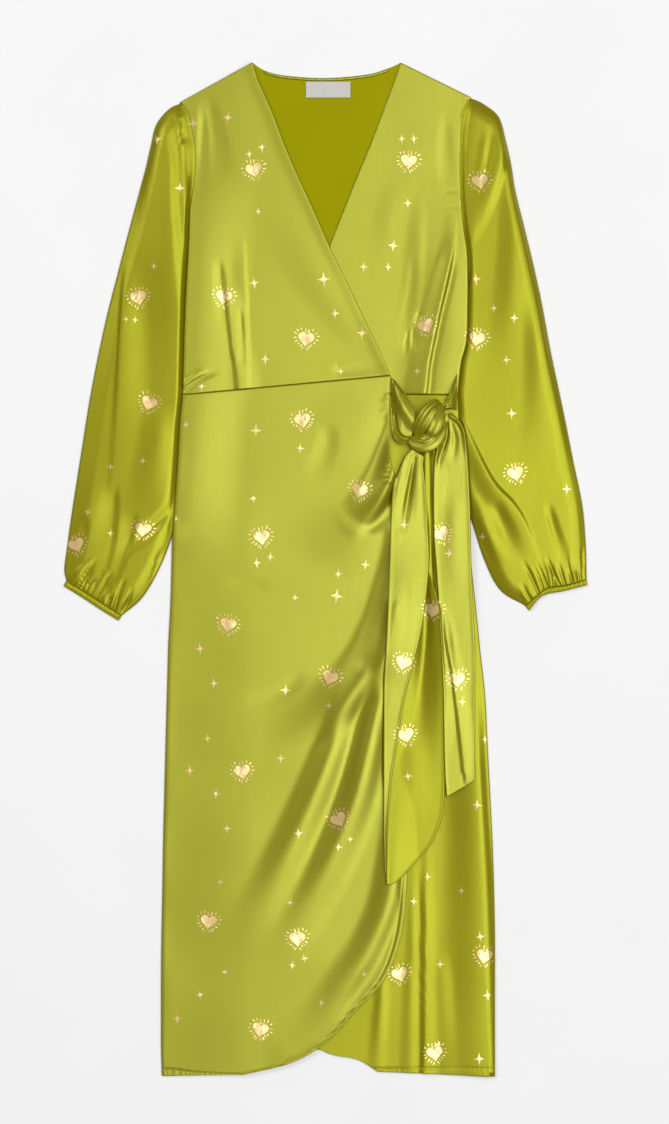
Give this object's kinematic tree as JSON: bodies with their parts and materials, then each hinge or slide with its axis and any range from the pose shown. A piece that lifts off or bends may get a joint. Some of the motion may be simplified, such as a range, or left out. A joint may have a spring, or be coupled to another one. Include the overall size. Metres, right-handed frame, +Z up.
{
  "type": "wrap dress",
  "caption": "Long-sleeved satin midi wrap dress laid flat, with a V neck, elasticated cuffs, a curved wrap skirt and a tie knotted at the side of the waist.",
  "frame": {"origin": "centre of the bounding box, on the surface that the dress lies on", "axes": "+Y from the hem towards the neck, +Z up from the surface, +X towards the wearer's left"},
  "size_m": [0.618, 1.196, 0.025],
  "materials": {
    "satin": "lime polyester satin, right side, glossy",
    "satin_wrong_side": "lime polyester satin, wrong side, matt",
    "cuff_casing": "lime satin gathered on elastic",
    "label": "plain woven label",
    "foil_print": "rose gold foil printed on the satin"
  },
  "bodies": {
    "root": {"back_bodice": "satin_wrong_side", "back_skirt": "satin_wrong_side", "under_front_bodice": "satin", "over_front_bodice": "satin", "under_front_skirt": "satin", "over_front_skirt": "satin", "right_sleeve": "satin", "left_sleeve": "satin", "right_cuff": "cuff_casing", "left_cuff": "cuff_casing", "neck_facing": "satin_wrong_side", "label": "label", "front_tie_fan": "satin", "side_tie_fan": "satin", "knot": "satin", "front_tail": "satin", "front_tail_turn": "satin", "side_tail": "satin"}
  },
  "joints": []
}
